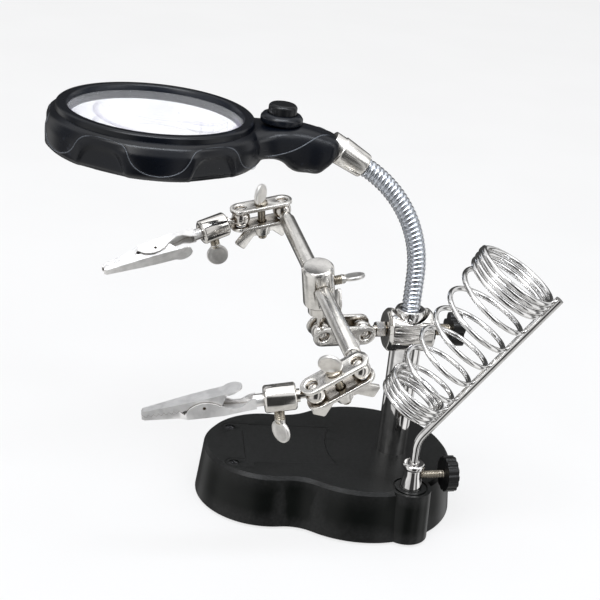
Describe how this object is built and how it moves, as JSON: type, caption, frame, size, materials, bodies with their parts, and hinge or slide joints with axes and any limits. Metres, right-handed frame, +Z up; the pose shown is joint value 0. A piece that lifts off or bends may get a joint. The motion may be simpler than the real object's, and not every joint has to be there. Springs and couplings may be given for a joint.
{
  "type": "helping hands clamp",
  "caption": "Helping hands soldering clamp: alligator clips on ball-jointed arms, magnifier lamp on a gooseneck, coil iron stand and a weighted figure-eight base.",
  "frame": {"origin": "middle of the whole object over the bench, at the underside of the rubber feet", "axes": "+Z up, +X from the clips towards the iron stand, +Y away from the user"},
  "size_m": [0.1942, 0.1146, 0.167],
  "materials": {
    "black_shell": "satin",
    "head_shell": "soft satin",
    "black_knob": "matte",
    "button_black": "gloss",
    "chromed_steel": "polished",
    "nickelled_steel": "bright nickel",
    "barrel_nickel": "bright nickel",
    "gooseneck_steel": "bright",
    "sheet_steel": "plated",
    "spring_steel": "plated",
    "coil_wire": "polished",
    "iron": "cast",
    "zinc_screw": "zinc plated",
    "cell_skin": "printed sleeve",
    "circuit_board": "solder mask",
    "led_white": "clear",
    "clear_lens": "polished",
    "rubber": "moulded"
  },
  "bodies": {
    "base": {"base_shell": "black_shell", "base_plate": "black_shell", "battery_cover": "black_shell", "base_screws": "zinc_screw", "rubber_feet": "rubber", "ballast_block": "iron", "aaa_cells": "cell_skin", "battery_contacts": "spring_steel", "column_tube": "chromed_steel", "column_bolt": "zinc_screw", "neck_ferrule_lower": "chromed_steel", "stand_socket": "chromed_steel"},
    "stand": {"stand_rod": "chromed_steel", "stand_coil": "coil_wire"},
    "stand_knob": {"stand_knob": "black_knob", "stand_knob_screw": "nickelled_steel"},
    "neck_1": {"gooseneck_1": "gooseneck_steel"},
    "neck_2": {"gooseneck_2": "gooseneck_steel"},
    "neck_3": {"gooseneck_3": "gooseneck_steel"},
    "head": {"neck_ferrule_upper": "chromed_steel", "head_top_shell": "head_shell", "head_bottom_shell": "head_shell", "head_screws": "zinc_screw", "led_board": "circuit_board", "leds": "led_white", "main_lens": "clear_lens", "inset_lens": "clear_lens", "button_collar": "head_shell"},
    "button": {"button": "button_black"},
    "barrel": {"barrel": "barrel_nickel"},
    "barrel_knob": {"barrel_lock_screw": "nickelled_steel", "barrel_lock_knob": "black_knob"},
    "barrel_stud": {"barrel_ball_stud": "nickelled_steel"},
    "middle_clamp": {"middle_clamp_plates": "nickelled_steel", "middle_clamp_screw": "nickelled_steel"},
    "middle_wing_nut": {"middle_wing_nut": "nickelled_steel"},
    "post": {"post_ball_stud": "nickelled_steel"},
    "t_sleeve": {"t_sleeve": "nickelled_steel"},
    "t_thumbscrew": {"t_thumbscrew": "nickelled_steel"},
    "rod": {"cross_rod": "nickelled_steel"},
    "upper_rod_ball": {"upper_rod_ball": "nickelled_steel"},
    "upper_clamp": {"upper_clamp_plates": "nickelled_steel", "upper_clamp_screw": "nickelled_steel"},
    "upper_wing_nut": {"upper_wing_nut": "nickelled_steel"},
    "upper_stud": {"upper_sleeve_ball_stud": "nickelled_steel"},
    "upper_sleeve": {"upper_clip_sleeve": "nickelled_steel", "upper_clip_fixed_jaw": "sheet_steel", "upper_clip_spring": "spring_steel"},
    "upper_thumbscrew": {"upper_sleeve_thumbscrew": "nickelled_steel"},
    "upper_jaw": {"upper_clip_moving_jaw": "sheet_steel"},
    "lower_rod_ball": {"lower_rod_ball": "nickelled_steel"},
    "lower_clamp": {"lower_clamp_plates": "nickelled_steel", "lower_clamp_screw": "nickelled_steel"},
    "lower_wing_nut": {"lower_wing_nut": "nickelled_steel"},
    "lower_stud": {"lower_sleeve_ball_stud": "nickelled_steel"},
    "lower_sleeve": {"lower_clip_sleeve": "nickelled_steel", "lower_clip_fixed_jaw": "sheet_steel", "lower_clip_spring": "spring_steel"},
    "lower_thumbscrew": {"lower_sleeve_thumbscrew": "nickelled_steel"},
    "lower_jaw": {"lower_clip_moving_jaw": "sheet_steel"}
  },
  "joints": [
    {"name": "stand_swivel", "type": "hinge", "parent": "base", "child": "stand", "pos_m": [0.05291, -0.01662, 0.0279], "axis": [0, 0, 1], "range_deg": [-90, 30]},
    {"name": "stand_knob_turn", "type": "hinge", "parent": "base", "child": "stand_knob", "pos_m": [0.05291, -0.01662, 0.0279], "axis": [0.9903, 0.1392, 0], "range_deg": [-180, 0]},
    {"name": "neck_swivel", "type": "hinge", "parent": "base", "child": "neck_1", "pos_m": [0.04981, 0.01378, 0.084], "axis": [0, 0, 1], "range_deg": [-60, 60]},
    {"name": "neck_bend_1", "type": "hinge", "parent": "neck_1", "child": "neck_2", "pos_m": [0.04833, 0.01378, 0.1131], "axis": [0, -1, 0], "range_deg": [-12, 3]},
    {"name": "neck_bend_2", "type": "hinge", "parent": "neck_2", "child": "neck_3", "pos_m": [0.03974, 0.01378, 0.13109], "axis": [0, -1, 0], "range_deg": [-12, 3]},
    {"name": "head_bend", "type": "hinge", "parent": "neck_3", "child": "head", "pos_m": [0.02481, 0.01378, 0.1443], "axis": [0, -1, 0], "range_deg": [-12, 3]},
    {"name": "button_press", "type": "slide", "parent": "head", "child": "button", "axis": [-0.0332, 0, -0.9995], "range_m": [0, 0.0015], "stiffness_N_per_m": 900, "springref_m": -0.0012},
    {"name": "barrel_turn", "type": "hinge", "parent": "base", "child": "barrel", "pos_m": [0.04981, 0.01378, 0.0775], "axis": [0, 0, 1], "range_deg": [-40, 15]},
    {"name": "barrel_knob_turn", "type": "hinge", "parent": "barrel", "child": "barrel_knob", "pos_m": [0.06672, 0.01555, 0.0775], "axis": [0.9945, 0.1045, 0], "range_deg": [-180, 0]},
    {"name": "barrel_stud_spin", "type": "hinge", "parent": "barrel", "child": "barrel_stud", "pos_m": [0.03072, 0.01177, 0.0775], "axis": [-0.9945, -0.1045, 0], "range_deg": [-15, 15]},
    {"name": "middle_clamp_swing", "type": "hinge", "parent": "barrel_stud", "child": "middle_clamp", "pos_m": [0.03072, 0.01177, 0.0775], "axis": [0.2577, -0.9432, -0.2096], "range_deg": [-12, 12]},
    {"name": "middle_wing_turn", "type": "hinge", "parent": "middle_clamp", "child": "middle_wing_nut", "pos_m": [0.02205, 0.00935, 0.07774], "axis": [-0.2577, 0.9432, 0.2096], "range_deg": [-180, 0]},
    {"name": "post_swing", "type": "hinge", "parent": "middle_clamp", "child": "post", "pos_m": [0.01338, 0.00693, 0.07797], "axis": [0.2577, -0.9432, -0.2096], "range_deg": [-20, 20]},
    {"name": "post_spin", "type": "hinge", "parent": "post", "child": "t_sleeve", "pos_m": [0.01338, 0.00693, 0.07797], "axis": [-0.1593, -0.255, 0.9537], "range_deg": [-35, 10]},
    {"name": "t_thumbscrew_turn", "type": "hinge", "parent": "t_sleeve", "child": "t_thumbscrew", "pos_m": [0.00962, 0.00091, 0.10048], "axis": [0.9647, 0.1648, 0.2052], "range_deg": [-180, 0]},
    {"name": "rod_slide", "type": "slide", "parent": "t_sleeve", "child": "rod", "axis": [-0.2095, 0.9528, 0.2198], "range_m": [-0.015, 0.015]},
    {"name": "upper_rod_ball_spin", "type": "hinge", "parent": "rod", "child": "upper_rod_ball", "pos_m": [-0.00152, 0.0516, 0.11217], "axis": [-0.2095, 0.9528, 0.2198], "range_deg": [-20, 20]},
    {"name": "upper_clamp_swing", "type": "hinge", "parent": "upper_rod_ball", "child": "upper_clamp", "pos_m": [-0.00152, 0.0516, 0.11217], "axis": [-0.1314, -0.1454, 0.9806], "range_deg": [-30, 15]},
    {"name": "upper_wing_turn", "type": "hinge", "parent": "upper_clamp", "child": "upper_wing_nut", "pos_m": [-0.01006, 0.0492, 0.11067], "axis": [0.1314, 0.1454, -0.9806], "range_deg": [-180, 0]},
    {"name": "upper_sleeve_swing", "type": "hinge", "parent": "upper_clamp", "child": "upper_stud", "pos_m": [-0.01861, 0.0468, 0.10917], "axis": [-0.1314, -0.1454, 0.9806], "range_deg": [-40, 40]},
    {"name": "upper_sleeve_spin", "type": "hinge", "parent": "upper_stud", "child": "upper_sleeve", "pos_m": [-0.01861, 0.0468, 0.10917], "axis": [-0.884, -0.3752, -0.279], "range_deg": [-90, 90]},
    {"name": "upper_thumbscrew_turn", "type": "hinge", "parent": "upper_sleeve", "child": "upper_thumbscrew", "pos_m": [-0.03036, 0.04181, 0.10546], "axis": [0.2568, 0.109, -0.9603], "range_deg": [-180, 0]},
    {"name": "upper_jaw_open", "type": "hinge", "parent": "upper_sleeve", "child": "upper_jaw", "pos_m": [-0.05282, 0.03086, 0.09743], "axis": [-0.027, -0.5547, 0.8316], "range_deg": [0, 18], "stiffness_Nm_per_rad": 0.06, "springref_deg": -20.05, "deforming": ["upper_clip_spring"]},
    {"name": "lower_rod_ball_spin", "type": "hinge", "parent": "rod", "child": "lower_rod_ball", "pos_m": [0.02043, -0.04825, 0.08914], "axis": [0.2095, -0.9528, -0.2198], "range_deg": [-20, 20]},
    {"name": "lower_clamp_swing", "type": "hinge", "parent": "lower_rod_ball", "child": "lower_clamp", "pos_m": [0.02043, -0.04825, 0.08914], "axis": [-0.4302, -0.2746, 0.8599], "range_deg": [-30, 30]},
    {"name": "lower_wing_turn", "type": "hinge", "parent": "lower_clamp", "child": "lower_wing_nut", "pos_m": [0.01272, -0.04983, 0.08478], "axis": [0.4302, 0.2746, -0.8599], "range_deg": [-180, 0]},
    {"name": "lower_sleeve_swing", "type": "hinge", "parent": "lower_clamp", "child": "lower_stud", "pos_m": [0.00501, -0.05142, 0.08041], "axis": [-0.4302, -0.2746, 0.8599], "range_deg": [-33, 40]},
    {"name": "lower_sleeve_spin", "type": "hinge", "parent": "lower_stud", "child": "lower_sleeve", "pos_m": [0.00501, -0.05142, 0.08041], "axis": [-0.9857, -0.0344, -0.165], "range_deg": [-90, 90]},
    {"name": "lower_thumbscrew_turn", "type": "hinge", "parent": "lower_sleeve", "child": "lower_thumbscrew", "pos_m": [-0.0081, -0.05188, 0.07822], "axis": [0.1649, 0.0058, -0.9863], "range_deg": [-180, 0]},
    {"name": "lower_jaw_open", "type": "hinge", "parent": "lower_sleeve", "child": "lower_jaw", "pos_m": [-0.03417, -0.05279, 0.07537], "axis": [-0.0349, 0.9994, 0], "range_deg": [0, 18], "stiffness_Nm_per_rad": 0.06, "springref_deg": -20.05, "deforming": ["lower_clip_spring"]}
  ],
  "couplings": [
    {"joint": "neck_bend_2", "follows": "neck_bend_1", "ratio": 1},
    {"joint": "head_bend", "follows": "neck_bend_1", "ratio": 1}
  ]
}
